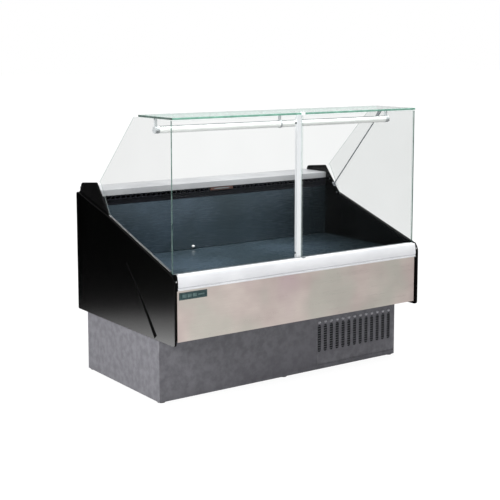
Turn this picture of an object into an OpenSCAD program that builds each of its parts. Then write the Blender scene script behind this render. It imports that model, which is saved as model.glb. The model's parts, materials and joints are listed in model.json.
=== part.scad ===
// Refrigerated deli case: a straight-glass serve-over counter on a closed plinth.
// Lengths are in millimetres. X runs along the case, -Y is the customer's side and Z is up.
// The origin is on the floor under the middle of the case.
// Depths are measured back from the front panel's face: at(d) turns a depth into a Y value.

/* [Overall size] */
// Length over the side covers
case_l = 1500; // [1460:10:1800]
// Depth from the front panel's face to the back edge of the side covers
body_d = 942; // [938:1:960]
// Height of the top glass above the floor
glass_top_z = 1339; // [1310:1:1380]

/* [Plinth] */
// Height of the plinth under the body
plinth_h = 330; // [322:1:336]
// Distance that the plinth stands back from the front panel
plinth_setback = 152; // [145:1:170]
// Depth of the plinth
plinth_d = 713; // [700:1:730]
// Number of slots in the intake grille
slot_n = 13; // [8:1:15]
// Width of one slot in the intake grille
slot_w = 21; // [8:1:22]

/* [Display well] */
// Height of the deck above the floor
deck_z = 590; // [580:1:596]
// Height of the worktop above the floor
worktop_z = 943; // [940:1:955]
// Depth of the back wall of the well
back_d = 735; // [730:1:745]
// Depth where the deck starts, behind the return air grille
deck_d = 112; // [105:1:130]

/* [Front] */
// Height of the front panel's lower edge
panel_z0 = 324; // [318:1:326]
// Height of the bumper rail's lower edge
rail_z0 = 563; // [555:1:563]
// Height of the glass hinge's axis
hinge_z = 622; // [620:1:626]
// Radius of the bumper rail's round top
bead_r = 14; // [12:1:14]

/* [Glass] */
// Thickness of the front panes
pane_t = 8; // [6:1:8]
// Thickness of the top glass
top_t = 10; // [8:1:12]
// Depth of the top glass
top_d = 300; // [280:1:320]
// Radius of the lamp
lamp_r = 17; // [13:1:17]

/* [Hidden] */
$fn = 48;

half_l = case_l / 2;
rail_face = -9.5;
front_y = -(body_d + rail_face) / 2;

// Places across the length, measured from the middle
cover_in = half_l - 11;
wall_out = cover_in - 0.5;
wall_in = half_l - 20;
panel_half = half_l - 20;
side_glass_x = wall_in + 1.7;
side_glass_t = 5;
pane_half = half_l - 13;

// The side covers' sloping edge, and how far the end walls rise above it
slope_z = 627;
slope_k = 0.331;
wall_rise = 2;
kink_d = 617;
ear_front = [745, 982];
ear_back = [908, 966];
cover_bottom = 307;
cover_back_z = 920;

// Glass and its hinge
hinge_d = 10;
pane_d = hinge_d + bead_r + 0.5;
pane_z0 = hinge_z - 14;
top_z0 = glass_top_z - top_t;
pane_z1 = top_z0 - 4;
side_z1 = top_z0 - 2;
side_d0 = pane_d + pane_t + 1.5;
pin_r = 3;
fit_r = 0.05;
pane_gap = 3;
lug_t = 4;
shoe_x0 = 6.5;
shoe_x1 = panel_half - 2.5;

// Plinth and the machines in it
sheet = 2;
plinth_half = half_l - 13;
plinth_back = plinth_setback + plinth_d;
floor_gap = 5;
tube = 30;
angle_t = 3;
frame_in = 8;
base_fold = frame_in - 0.5;
frame_z = 24;
grille_x = 200;
grille_z0 = 30;
unit_x0 = 215;
unit_x1 = 690;
unit_z = frame_z + tube;
fan_x = 400;
fan_z = 185;
fan_r = 92;
compressor_x = 400;
compressor_d = 560;
suction_x = 60;
suction_y = 64;
suction_z = 120;
discharge_y = 86;
discharge_z = 150;
tray_x0 = -430;
tray_x1 = -190;
tray_d0 = 430;
tray_z = frame_z + tube + 0.3;
drain_x = -310;
drain_d = 560;

// Tub and the parts in it
tub_front = 4;
tub_in = 70;
tub_floor = 375;
tub_back_in = 868;
tub_back = 932;
sill_z = 575;
evap_fan_x = 300;
evap_fan_d = 600;
evap_fan_z = 478;
evap_fan_r = 75;
outlet_z = worktop_z - 80;
probe_x = -177;
worktop_t = 32;

// Lamp and its stay
lamp_d = 209;
lamp_z = glass_top_z - 65;
lamp_half = half_l - 55;
stay_x = wall_in - 6;
stay_top = [256, top_z0 - 3];

// Post
post_w = 28;
post_t = 18;
post_d = 48;

// Controls on the back
panel_x = -405;
control_z = 845;

function at(d) = front_y + d;
function edge_z(d) = slope_z + slope_k * d;
function unit(v) = v / norm(v);
function turn(a) = a > 180 ? a - 360 : a < -180 ? a + 360 : a;

// Points along an arc about a centre
function arc(c, r, a0, a1, n) =
    [for (i = [0 : n]) let (a = a0 + (a1 - a0) * i / n) c + r * [cos(a), sin(a)]];

// The arc that rounds corner c between its neighbours p and q
function fillet(p, c, q, r, n) =
    let (u = unit(p - c), v = unit(q - c), half = acos(u * v) / 2)
    let (mid = c + unit(u + v) * r / sin(half), reach = r / tan(half))
    let (s = c + u * reach - mid, e = c + v * reach - mid)
    let (a0 = atan2(s[1], s[0]), a1 = a0 + turn(atan2(e[1], e[0]) - a0))
    arc(mid, r, a0, a1, n);

// An outline whose points are [x, y, corner radius]
function xy(p) = [p[0], p[1]];
function outline(pts, n = 6) =
    [for (i = [0 : len(pts) - 1])
        let (p = pts[(i + len(pts) - 1) % len(pts)], c = pts[i], q = pts[(i + 1) % len(pts)])
        each c[2] == 0 ? [xy(c)] : fillet(xy(p), xy(c), xy(q), c[2], n)];

// A [depth, height] outline run along the case from x0 to x1
module run_x(x0, x1) {
    translate([x0, front_y, 0])
        rotate([90, 0, 90])
            linear_extrude(x1 - x0) children();
}

// A box from its limits along the case, in depth and in height
module slab(x, d, z) {
    translate([x[0], at(d[0]), z[0]])
        cube([x[1] - x[0], d[1] - d[0], z[1] - z[0]]);
}

module rod_x(x0, x1, d, z, r) {
    translate([x0, at(d), z])
        rotate([0, 90, 0]) cylinder(h = x1 - x0, r = r);
}

module rod_y(x, d0, d1, z, r) {
    translate([x, at(d0), z])
        rotate([-90, 0, 0]) cylinder(h = d1 - d0, r = r);
}

module rod_z(x, d, z0, z1, r) {
    translate([x, at(d), z0]) cylinder(h = z1 - z0, r = r);
}

// A straight round bar between two [x, depth, z] points
module bar(a, b, r) {
    v = b - a;
    translate([a[0], at(a[1]), a[2]])
        rotate([0, acos(v[2] / norm(v)), atan2(v[1], v[0])])
            cylinder(h = norm(v), r = r);
}

// A bent pipe through a list of [x, depth, z] points
module pipe(points, r) {
    for (i = [0 : len(points) - 2])
        bar(points[i], points[i + 1], r);
    for (i = [1 : len(points) - 2])
        translate([points[i][0], at(points[i][1]), points[i][2]]) sphere(r = r);
}

// The left-hand copy of a right-hand piece
module left_hand() {
    mirror([1, 0, 0]) children();
}

// ---- plinth ----

frame_x1 = plinth_half - frame_in;
frame_d0 = plinth_setback + frame_in;
frame_d1 = plinth_back - frame_in;
foot_x = [-frame_x1 + tube / 2, 0, frame_x1 - tube / 2];
foot_d = [frame_d0 + tube / 2, frame_d1 - tube / 2];

// Each foot: a flat pad, a threaded stem and a lock nut under the frame
module levelling_feet() {
    color("dimgray")
        for (x = foot_x, d = foot_d) {
            rod_z(x, d, 0, 4.5, 19);
            rod_z(x, d, 4.5, frame_z + tube - angle_t, 5);
            translate([x, at(d), 12]) cylinder(h = 8, r = 9.5, $fn = 6);
        }
}

// Welded angle: rails with their flat side up, and a post in each corner
module base_frame() {
    x1 = frame_x1;
    d0 = frame_d0;
    d1 = frame_d1;
    z0 = frame_z;
    z1 = frame_z + tube;
    cross = [-x1, tray_x0 + 4, tray_x1 - 34, grille_x + 10, unit_x1 - 32, x1 - tube];
    color("slategray") {
        for (d = [d0, d1 - tube])
            slab([-x1, x1], [d, d + tube], [z1 - angle_t, z1]);
        for (d = [d0, d1 - angle_t])
            slab([-x1, x1], [d, d + angle_t], [z0, z1]);
        for (x = cross)
            slab([x, x + tube], [d0, d1], [z1 - angle_t, z1]);
        for (x = [-x1, cross[1], cross[2], cross[3], cross[4], x1 - angle_t])
            slab([x, x + angle_t], [d0, d1], [z0, z1]);
        for (x = [-x1, x1 - tube], d = [d0, d1 - angle_t])
            slab([x, x + tube], [d, d + angle_t], [z1, plinth_h]);
        for (x = [-x1, x1 - angle_t], d = [d0, d1 - tube])
            slab([x, x + angle_t], [d, d + tube], [z1, plinth_h]);
    }
}

// A plinth side: a sheet with its upper and lower edges folded inwards
module base_side() {
    z1 = plinth_h - 2;
    for (z = [floor_gap, z1 - sheet])
        slab([plinth_half - base_fold, plinth_half],
             [plinth_setback + sheet + 0.5, plinth_back - sheet - 0.5], [z, z + sheet]);
    slab([plinth_half - sheet, plinth_half], [plinth_setback, plinth_back], [floor_gap, z1]);
}

module base_left_panel() {
    color("gray") left_hand() base_side();
}

module base_right_panel() {
    color("gray") base_side();
}

module base_front_panel() {
    x0 = -plinth_half + sheet + 0.5;
    color("gray") {
        slab([x0, grille_x], [plinth_setback, plinth_setback + sheet], [floor_gap, plinth_h - 2]);
        slab([grille_x - 1, -x0], [plinth_setback, plinth_setback + sheet], [floor_gap, grille_z0 - 2]);
        slab([x0 + base_fold, grille_x - 2], [plinth_setback, plinth_setback + base_fold],
             [plinth_h - 2 - sheet, plinth_h - 2]);
    }
}

module grille_slot(w, z0, z1) {
    translate([0, 0, z0 + w / 2]) rotate([90, 0, 0]) cylinder(h = 20, r = w / 2, center = true);
    translate([0, 0, z1 - w / 2]) rotate([90, 0, 0]) cylinder(h = 20, r = w / 2, center = true);
    translate([-w / 2, -10, z0 + w / 2]) cube([w, 20, z1 - z0 - w]);
}

module intake_grille() {
    x0 = grille_x + 1;
    x1 = plinth_half - sheet - 0.5;
    first = x0 + 16;
    pitch = (x1 - 42 - first) / (slot_n - 1);
    color("gray")
        difference() {
            union() {
                slab([x0, x1], [plinth_setback, plinth_setback + sheet], [grille_z0, plinth_h - 2]);
                slab([x0 + 2, x1 - base_fold], [plinth_setback, plinth_setback + base_fold],
                     [plinth_h - 2 - sheet, plinth_h - 2]);
            }
            for (i = [0 : slot_n - 1])
                translate([first + i * pitch, at(plinth_setback), 0]) grille_slot(slot_w, 96, 238);
        }
}

module base_rear_panel() {
    x1 = plinth_half - sheet - 0.5;
    d0 = plinth_back - sheet;
    color("gray")
        difference() {
            slab([-x1, x1], [d0, plinth_back], [floor_gap, plinth_h - 2]);
            slab([tray_x0 - 4, tray_x1 + 4], [d0 - 5, plinth_back + 5], [tray_z - 6, tray_z + 58]);
            for (i = [0 : 13])
                translate([grille_x + 60 + i * 30, at(d0), 0]) grille_slot(12, 90, 270);
            rod_y(-half_l + 110, d0 - 5, plinth_back + 5, 110, 10);
        }
}

// Cable gland for the supply lead
module power_gland() {
    x = -half_l + 110;
    color("black")
        difference() {
            union() {
                rod_y(x, plinth_back - 16, plinth_back + 2, 110, 9.9);
                translate([x, at(plinth_back), 110])
                    rotate([-90, 0, 0]) cylinder(h = 8, r = 15, $fn = 6);
                rod_y(x, plinth_back + 8, plinth_back + 20, 110, 11);
                translate([x, at(plinth_back - sheet - 5), 110])
                    rotate([-90, 0, 0]) cylinder(h = 5, r = 15, $fn = 6);
            }
            rod_y(x, plinth_back - 20, plinth_back + 24, 110, 5);
        }
}

// ---- condensing unit ----

module unit_plate() {
    color("dimgray") {
        slab([unit_x0, unit_x1], [plinth_setback + 12, plinth_back - 60], [unit_z, unit_z + 3]);
        for (d = [plinth_setback + 12, plinth_back - 63])
            slab([unit_x0, unit_x1], [d, d + 3], [unit_z, unit_z + 18]);
    }
}

module compressor() {
    base = unit_z + 3;
    color("black")
        translate([compressor_x, at(compressor_d), base]) {
            rotate_extrude()
                polygon(concat([[0, 22], [70, 22]], arc([62, 34], 16, -60, 0, 4),
                               [[78, 110], [82, 112], [82, 120], [78, 122]],
                               arc([38, 165], 40, 0, 80, 7), [[0, 209]]));
            for (x = [-85, 85], y = [-60, 60]) {
                translate([x, y, 0]) cylinder(h = 14, r = 12);
                translate([x, y, 0]) cylinder(h = 24, r = 4);
            }
            difference() {
                translate([-100, -74, 14]) cube([200, 148, 4]);
                translate([0, 0, 10]) cylinder(h = 12, r = 45);
            }
            translate([0, 0, 18]) cylinder(h = 6, r = 62);
            translate([70, -26, 60]) cube([30, 52, 60]);
            translate([-suction_x, 40, suction_z - base])
                rotate([-90, 0, 0]) cylinder(h = suction_y - 40, r = 9);
            translate([0, -discharge_y, discharge_z - base])
                rotate([-90, 0, 0]) cylinder(h = discharge_y - 70, r = 6);
        }
}

module condenser_coil() {
    x0 = unit_x0 + 22;
    x1 = 590;
    d0 = plinth_setback + 26;
    z0 = unit_z + 3;
    fins = 44;
    pitch = (x1 - x0 - 4) / fins;
    color("silver") {
        for (x = [x0, x1 - 3])
            slab([x, x + 3], [d0 - 2, d0 + 52], [z0, 302]);
        for (i = [1 : fins - 1])
            slab([x0 + i * pitch, x0 + i * pitch + 1], [d0, d0 + 50], [z0 + 4, 298]);
        for (row = [0, 1], k = [0 : 6])
            rod_x(x0 - 8, x1 + 8, d0 + 13 + row * 24, z0 + 22 + k * 32, 4.5);
        for (x = [x0 - 8, x1 + 8], k = [0 : 6])
            rod_y(x, d0 + 13, d0 + 37, z0 + 22 + k * 32, 4.5);
    }
}

module fan_shroud() {
    d0 = plinth_setback + 82;
    color("dimgray")
        difference() {
            union() {
                slab([unit_x0 + 22, 590], [d0, d0 + 2], [unit_z + 3, 302]);
                rod_y(fan_x, d0, d0 + 26, fan_z, fan_r + 8);
                for (x = [unit_x0 + 22, 588])
                    slab([x, x + 2], [d0 - 4, d0], [unit_z + 3, 302]);
            }
            rod_y(fan_x, d0 - 5, d0 + 30, fan_z, fan_r + 5);
        }
}

// The fan's drive motor, its shaft and the stand that holds it
module condenser_fan_motor() {
    d0 = plinth_setback + 116;
    color("black") {
        rod_y(fan_x, d0, d0 + 62, fan_z, 36);
        rod_y(fan_x, d0 - 22, d0, fan_z, 3);
        slab([fan_x - 22, fan_x + 22], [d0 + 14, d0 + 48], [unit_z + 3, fan_z - 30]);
        slab([fan_x - 40, fan_x + 40], [d0 + 10, d0 + 52], [unit_z + 3, unit_z + 7]);
    }
}

// A fan of flat pitched blades on a hub that is bored for its shaft, its axis along Y
module fan(r, hub_r, blades, depth, shaft_r) {
    rotate([-90, 0, 0])
        difference() {
            union() {
                cylinder(h = depth, r = hub_r);
                intersection() {
                    cylinder(h = depth, r = r);
                    for (i = [0 : blades - 1])
                        rotate([0, 0, i * 360 / blades])
                            translate([0, 0, depth / 2])
                                rotate([32, 0, 0])
                                    translate([hub_r - 4, -r * 0.3, -1])
                                        cube([r, r * 0.6, 2]);
                }
            }
            translate([0, 0, -1]) cylinder(h = depth + 2, r = shaft_r + fit_r);
        }
}

module condenser_fan() {
    color("gainsboro")
        translate([fan_x, at(plinth_setback + 92), fan_z]) fan(fan_r, 24, 5, 20, 3);
}

// Discharge line, liquid line with its drier, and suction line
coil_port_x = 602.6;
coil_port_d = plinth_setback + 51;
evap_port_x = 555.2;
liquid_x = 645;
suction_riser = [575, 770];
module refrigerant_pipes() {
    out_x = 625;
    back_d1 = compressor_d - discharge_y;
    s_x = compressor_x - suction_x;
    z_top = unit_z + 217;
    z_low = unit_z + 25;
    color("chocolate") {
        pipe([[compressor_x, back_d1, discharge_z], [compressor_x, back_d1 - 30, discharge_z],
              [out_x, back_d1 - 30, discharge_z], [out_x, coil_port_d, discharge_z],
              [out_x, coil_port_d, z_top], [coil_port_x, coil_port_d, z_top]], 4);
        pipe([[coil_port_x, coil_port_d, z_low], [liquid_x, coil_port_d, z_low], [liquid_x, 560, z_low],
              [liquid_x, 560, 290], [liquid_x, 800, 290], [liquid_x, 800, tub_floor + 64],
              [evap_port_x, 800, tub_floor + 64]], 4);
        rod_z(liquid_x, 560, 140, 240, 13);
        pipe([[s_x, compressor_d + suction_y, suction_z], [s_x, 650, suction_z], [s_x, 650, 300],
              [suction_riser[0], 650, 300], [suction_riser[0], suction_riser[1], 300],
              [suction_riser[0], suction_riser[1], tub_floor + 32],
              [evap_port_x, suction_riser[1], tub_floor + 32]], 7);
    }
}

module drain_tray() {
    h = 52;
    color("silver")
        difference() {
            union() {
                slab([tray_x0, tray_x1], [tray_d0, plinth_back - 3], [tray_z, tray_z + h]);
                slab([tray_x0 - 12, tray_x1 + 12], [plinth_back + 0.5, plinth_back + 3],
                     [tray_z - 12, tray_z + h + 14]);
                slab([tray_x0 + 6, tray_x1 - 6], [plinth_back - 3, plinth_back + 0.5],
                     [tray_z, tray_z + h]);
                slab([tray_x0 + 80, tray_x1 - 80], [plinth_back + 3, plinth_back + 20],
                     [tray_z + h - 2, tray_z + h + 2]);
            }
            slab([tray_x0 + 2, tray_x1 - 2], [tray_d0 + 2, plinth_back - 6], [tray_z + 2, tray_z + h + 1]);
        }
}

module drain_pipe() {
    color("white")
        difference() {
            union() {
                rod_z(drain_x, drain_d, tray_z + 62, tub_floor - 1, 16);
                rod_z(drain_x, drain_d, plinth_h - 8, plinth_h - 0.5, 26);
            }
            rod_z(drain_x, drain_d, tray_z + 50, tub_floor + 5, 13);
        }
}

// ---- insulated body ----

// The tub's section, drawn t inside its outer sheets and t outside its inner ones
skin = 1.5;
module tub_section(t) {
    z1 = worktop_z - worktop_t - 3;
    polygon([[tub_front + t, plinth_h + t], [tub_back - t, plinth_h + t], [tub_back - t, z1 - t],
             [tub_back_in + t, z1 - t], [tub_back_in + t, tub_floor - t], [tub_in - t, tub_floor - t],
             [tub_in - t, sill_z - t], [tub_front + t, sill_z - t]]);
}

// The ways through the tub's floor and back: the drain, the two lines and the controls
module tub_ways() {
    rod_z(drain_x, drain_d, plinth_h - 5, tub_floor + 5, 17);
    rod_z(liquid_x, 800, plinth_h - 5, tub_floor + 5, 6);
    rod_z(suction_riser[0], suction_riser[1], plinth_h - 5, tub_floor + 5, 9);
    slab([panel_x - 142, panel_x + 142], [tub_back - 46, tub_back + 5], [control_z - 32, control_z + 32]);
}

// Sheet skins of the foamed body, inside and out; the end walls close their ends
module tub() {
    color("silver")
        difference() {
            run_x(-wall_in + 0.5, wall_in - 0.5)
                difference() {
                    tub_section(0);
                    tub_section(skin);
                }
            tub_ways();
        }
}

// The foam between the skins
module insulation() {
    color("khaki")
        difference() {
            run_x(-wall_in + 0.5, wall_in - 0.5) tub_section(skin);
            tub_ways();
        }
}

// End wall: a thin plate with the glazing channel on its slope and a raised ear behind the slope
wall_top = [[44, edge_z(44) - 13, 0], [kink_d, edge_z(kink_d) - 13, 0],
            [kink_d, edge_z(kink_d) + wall_rise, 0], [ear_front[0], ear_front[1], 10],
            [ear_back[0], ear_back[1], 22], [ear_back[0] + 10, cover_back_z + 8, 0],
            [tub_back, cover_back_z - 2, 0]];

module end_wall() {
    run_x(wall_in, wall_out)
        polygon(outline(concat([[tub_back, plinth_h, 0], [tub_front, plinth_h, 0],
                                [tub_front, sill_z - 1, 0], [44, sill_z - 1, 0]], wall_top)));
}

module left_end_wall() {
    color([0.07, 0.07, 0.08]) left_hand() end_wall();
}

module right_end_wall() {
    color([0.07, 0.07, 0.08]) end_wall();
}

// The bumper rail's face: a lip, a groove, a flat face and a large arc into the round top
face_turn = 15;
face_r = (rail_face - hinge_d + bead_r * cos(face_turn)) / (cos(face_turn) - 1);
face_c = [rail_face + face_r, hinge_z - (face_r - bead_r) * sin(face_turn)];
rail_front = concat([[2, rail_z0], [rail_face + 0.5, rail_z0], [rail_face + 0.5, rail_z0 + 7],
                     [-6, rail_z0 + 9], [-6, rail_z0 + 12], [rail_face, rail_z0 + 14]],
                    arc(face_c, face_r, 180, 180 - face_turn, 6));
rail_profile = concat(rail_front, arc([hinge_d, hinge_z], bead_r, 180 - face_turn, -30, 16),
                      [[10, 600], [10, sill_z + 2], [2, sill_z + 2]]);

// Side cover: a moulded plate, a front rim that meets the front panel and the rail,
// and a tapering diagonal groove that runs up from the plinth's front corner
groove_a = [160, 320];
groove_b = [426, 626];
function groove_line(t, side) =
    let (v = groove_b - groove_a, n = [-v[1], v[0]] / norm(v), bow = 28 * t * (1 - t))
    groove_a + v * t + n * (bow + side * (3 + 11 * (1 - t)));

module side_cover() {
    difference() {
        union() {
            run_x(cover_in, half_l)
                polygon(outline([[-7.5, cover_bottom, 14], [-7.5, edge_z(-7.5), 50],
                                 [kink_d, edge_z(kink_d), 30], [body_d, cover_back_z, 12],
                                 [body_d, cover_bottom, 8]], 10));
            run_x(panel_half + 0.5, cover_in + 1)
                polygon(outline([[-7.5, cover_bottom, 14], [-7.5, rail_z0 - 0.5, 0],
                                 [2, rail_z0 - 0.5, 0], [2, cover_bottom, 0]]));
            run_x(panel_half + 0.5, cover_in + 1) polygon(rail_profile);
        }
        run_x(half_l - 3, half_l + 5)
            polygon(concat([for (i = [0 : 8]) groove_line(i / 8, 1)],
                           [for (i = [8 : -1 : 0]) groove_line(i / 8, -1)]));
    }
}

module left_side_cover() {
    color([0.1, 0.1, 0.1]) left_hand() side_cover();
}

module right_side_cover() {
    color([0.1, 0.1, 0.1]) side_cover();
}

module front_panel() {
    color("lightgray")
        run_x(-panel_half, panel_half)
            polygon([[0, panel_z0], [22, panel_z0], [22, panel_z0 + 2], [2, panel_z0 + 2],
                     [2, rail_z0 - 0.5], [0, rail_z0 - 0.5]]);
}

module badge_plate() {
    color("darkslategray")
        slab([-720, -570], [-2, 0], [518, 552]);
}

// Bumper rail: a hollow aluminium profile, notched where the glass lugs turn and bored for the pins
module bumper_rail() {
    color("whitesmoke")
        difference() {
            run_x(-panel_half, panel_half)
                difference() {
                    polygon(rail_profile);
                    polygon([[-6.5, sill_z + 6], [6.5, sill_z + 6], [6.5, 604], [0, 612], [-5.5, 612]]);
                }
            for (x = [-panel_half + 3.5, 0, panel_half - 3.5])
                slab([x - (x == 0 ? 13 : 4.5), x + (x == 0 ? 13 : 4.5)],
                     [hinge_d - 9, hinge_d + 30], [hinge_z - 22, hinge_z + 30]);
            rod_x(-panel_half - 5, panel_half + 5, hinge_d, hinge_z, pin_r + fit_r);
        }
}

module hinge_pins() {
    color("dimgray") {
        rod_x(-26, 26, hinge_d, hinge_z, pin_r);
        for (x = [-panel_half + 0.5, panel_half - 20.5])
            rod_x(x, x + 20, hinge_d, hinge_z, pin_r);
    }
}

module rear_panel() {
    color("silver")
        difference() {
            slab([-wall_out, wall_out], [tub_back + 0.2, tub_back + 2.2],
                 [plinth_h + 2, worktop_z - worktop_t - 2]);
            slab([panel_x - 142, panel_x + 142], [tub_back - 5, tub_back + 10],
                 [control_z - 32, control_z + 32]);
        }
}

module worktop() {
    d1 = tub_back + 8;
    z0 = worktop_z - worktop_t;
    color("silver")
        run_x(-wall_in + 0.5, wall_in - 0.5)
            polygon(outline([[back_d, z0, 0], [back_d, worktop_z, 4], [d1, worktop_z, 4], [d1, z0, 0],
                             [d1 - 2, z0, 0], [d1 - 2, worktop_z - 2, 2], [back_d + 2, worktop_z - 2, 2],
                             [back_d + 2, z0 + 2, 0], [back_d + 24, z0 + 2, 0], [back_d + 24, z0, 0]]));
}

module back_panel() {
    color([0.27, 0.31, 0.38])
        run_x(-wall_in + 1, wall_in - 1)
            polygon([[back_d, deck_z + 1], [back_d + 2, deck_z + 1], [back_d + 2, outlet_z - 1],
                     [back_d, outlet_z - 1]]);
}

// Honeycomb strip that lets the cold air out under the worktop's edge
module air_outlet() {
    z1 = worktop_z - worktop_t - 1;
    color([0.05, 0.05, 0.06])
        difference() {
            slab([-wall_in + 1, wall_in - 1], [back_d + 2, back_d + 30], [outlet_z, z1]);
            slab([-wall_in + 8, wall_in - 8], [back_d - 5, back_d + 6], [outlet_z + 6, outlet_z + 24]);
            for (i = [-23 : 23])
                slab([i * 29.5 - 12, i * 29.5 + 12], [back_d - 5, back_d + 40], [outlet_z + 30, z1 - 6]);
        }
}

module return_grille() {
    z = deck_z - 4;
    color([0.25, 0.28, 0.33])
        difference() {
            run_x(-wall_in + 1, wall_in - 1)
                polygon([[tub_in - 18, sill_z + 0.2], [tub_in + 2, sill_z + 0.2], [tub_in + 2, z - 2],
                         [deck_d - 3, z - 2], [deck_d - 3, z - 22], [deck_d - 1, z - 22], [deck_d - 1, z],
                         [tub_in, z], [tub_in, sill_z + 2.2], [tub_in - 18, sill_z + 2.2]]);
            for (i = [-20 : 20])
                slab([i * 34 - 12, i * 34 + 12], [tub_in + 8, deck_d - 8], [z - 6, z + 5]);
        }
}

// One lift-out deck pan: a sheet with a folded edge all round
pan_w = (2 * wall_in - 6) / 3;
module deck_pan(i) {
    x0 = -wall_in + 2 + i * (pan_w + 1);
    difference() {
        slab([x0, x0 + pan_w], [deck_d, back_d - 2], [deck_z - 22, deck_z]);
        slab([x0 + 2, x0 + pan_w - 2], [deck_d + 2, back_d - 4], [deck_z - 30, deck_z - 2]);
    }
}

module deck_pan_left() {
    color([0.27, 0.31, 0.38]) deck_pan(0);
}

// The middle pan is notched so that it lifts past the probe
module deck_pan_centre() {
    color([0.27, 0.31, 0.38])
        difference() {
            deck_pan(1);
            slab([probe_x - 9, probe_x + 9], [back_d - 15, back_d], [deck_z - 30, deck_z + 5]);
        }
}

module deck_pan_right() {
    color([0.27, 0.31, 0.38]) deck_pan(2);
}

module evaporator_coil() {
    x1 = 540;
    fins = 50;
    pitch = 2 * x1 / fins;
    color("silver") {
        for (x = [-x1, x1 - 3])
            slab([x, x + 3], [715, 835], [tub_floor + 2, 558]);
        for (i = [1 : fins - 1])
            slab([-x1 + i * pitch, -x1 + i * pitch + 1], [718, 832], [tub_floor + 12, 554]);
        for (row = [0 : 2], k = [0 : 4])
            rod_x(-x1 - 10, x1 + 10, 738 + row * 38, tub_floor + 32 + k * 32, 5);
        for (x = [-x1 - 10, x1 + 10], k = [0 : 4])
            rod_y(x, 738, 776 + 38, tub_floor + 32 + k * 32, 5);
    }
}

// Plate across the tub that carries the fans and holds up the deck pans
module fan_plate() {
    x1 = wall_in - 2;
    color("silver")
        difference() {
            union() {
                slab([-x1, x1], [evap_fan_d, evap_fan_d + 2], [tub_floor + 1, deck_z - 3]);
                slab([-x1, x1], [evap_fan_d, evap_fan_d + 16], [tub_floor + 1, tub_floor + 3]);
            }
            for (x = [-evap_fan_x, evap_fan_x])
                rod_y(x, evap_fan_d - 5, evap_fan_d + 5, evap_fan_z, evap_fan_r + 4);
            for (i = [0 : 3])
                slab([i * (pan_w + 1) - x1 - 5, i * (pan_w + 1) - x1 + 4],
                     [evap_fan_d - 5, evap_fan_d + 5], [deck_z - 23, deck_z]);
        }
}

module evaporator_fan_motors() {
    color("black")
        for (x = [-evap_fan_x, evap_fan_x]) {
            rod_y(x, evap_fan_d + 22, evap_fan_d + 62, evap_fan_z, 26);
            rod_y(x, evap_fan_d - 14, evap_fan_d + 22, evap_fan_z, 2.5);
            for (a = [30, 150, 270])
                bar([x + 20 * cos(a), evap_fan_d + 30, evap_fan_z + 20 * sin(a)],
                    [x + 90 * cos(a), evap_fan_d + 4.9, evap_fan_z + 90 * sin(a)], 3);
        }
}

module evaporator_fan(x) {
    translate([x, at(evap_fan_d - 12), evap_fan_z]) fan(evap_fan_r, 20, 5, 18, 2.5);
}

module evaporator_fan_left() {
    color("black") evaporator_fan(-evap_fan_x);
}

module evaporator_fan_right() {
    color("black") evaporator_fan(evap_fan_x);
}

// Thermometer strip in the middle of the air outlet, with its two screws
module thermometer() {
    z = worktop_z - worktop_t - 10;
    color("rosybrown") {
        slab([-63, 81], [back_d - 2, back_d + 1.9], [z - 7, z + 7]);
        for (x = [-54, 72])
            rod_y(x, back_d - 4, back_d - 2, z, 4);
    }
}

// Temperature probe in its clip, low on the back wall
module probe() {
    color("white") {
        rod_y(probe_x, back_d - 9, back_d, deck_z + 14, 7);
        rod_y(probe_x, back_d - 13, back_d - 9, deck_z + 14, 4);
    }
}

// ---- glass ----

module front_glass() {
    slab([pane_gap, pane_half], [pane_d, pane_d + pane_t], [pane_z0, pane_z1]);
}

module left_front_glass() {
    color([0.75, 0.9, 0.85, 0.35]) left_hand() front_glass();
}

module right_front_glass() {
    color([0.75, 0.9, 0.85, 0.35]) front_glass();
}

// Shoe that grips a pane's lower edge, with a lug at each end that turns on the hinge pins
module glass_shoe() {
    d1 = pane_d + pane_t + 3;
    difference() {
        union() {
            run_x(shoe_x0, shoe_x1)
                polygon([[pane_d - 0.2, pane_z0 - 4], [d1, pane_z0 - 4], [d1, hinge_z + 12],
                         [pane_d + pane_t + 0.1, hinge_z + 12], [pane_d + pane_t + 0.1, pane_z0 - 0.1],
                         [pane_d - 0.2, pane_z0 - 0.1]]);
            for (x = [shoe_x0, shoe_x1 - lug_t]) {
                run_x(x, x + lug_t)
                    polygon([[hinge_d, hinge_z - 7], [pane_d + 2, pane_z0 - 4],
                             [pane_d + 2, pane_z0 - 0.1], [pane_d - 0.3, pane_z0 - 0.1],
                             [pane_d - 0.3, hinge_z + 6], [hinge_d, hinge_z + 7]]);
                rod_x(x, x + lug_t, hinge_d, hinge_z, 7);
            }
        }
        rod_x(0, half_l, hinge_d, hinge_z, pin_r + fit_r);
    }
}

module left_glass_shoe() {
    color("silver") left_hand() glass_shoe();
}

module right_glass_shoe() {
    color("silver") glass_shoe();
}

// Upright that the panes close against: a hollow aluminium profile
module centre_post() {
    color("white")
        difference() {
            translate([-post_w / 2, at(post_d), sill_z + 2.2]) cube([post_w, post_t, top_z0 - sill_z - 4.3]);
            translate([-post_w / 2 + 2, at(post_d + 2), sill_z])
                cube([post_w - 4, post_t - 4, top_z0 - sill_z]);
        }
}

// Clip on the post's head that grips the top glass's front edge
module post_clip() {
    color("white")
        run_x(-11, 11)
            polygon([[post_d + post_t, top_z0 - 2], [post_d + post_t, top_z0 - 0.1], [19.9, top_z0 - 0.1],
                     [19.9, glass_top_z + 0.1], [32, glass_top_z + 0.1], [32, glass_top_z + 2],
                     [18, glass_top_z + 2], [18, top_z0 - 2]]);
}

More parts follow.
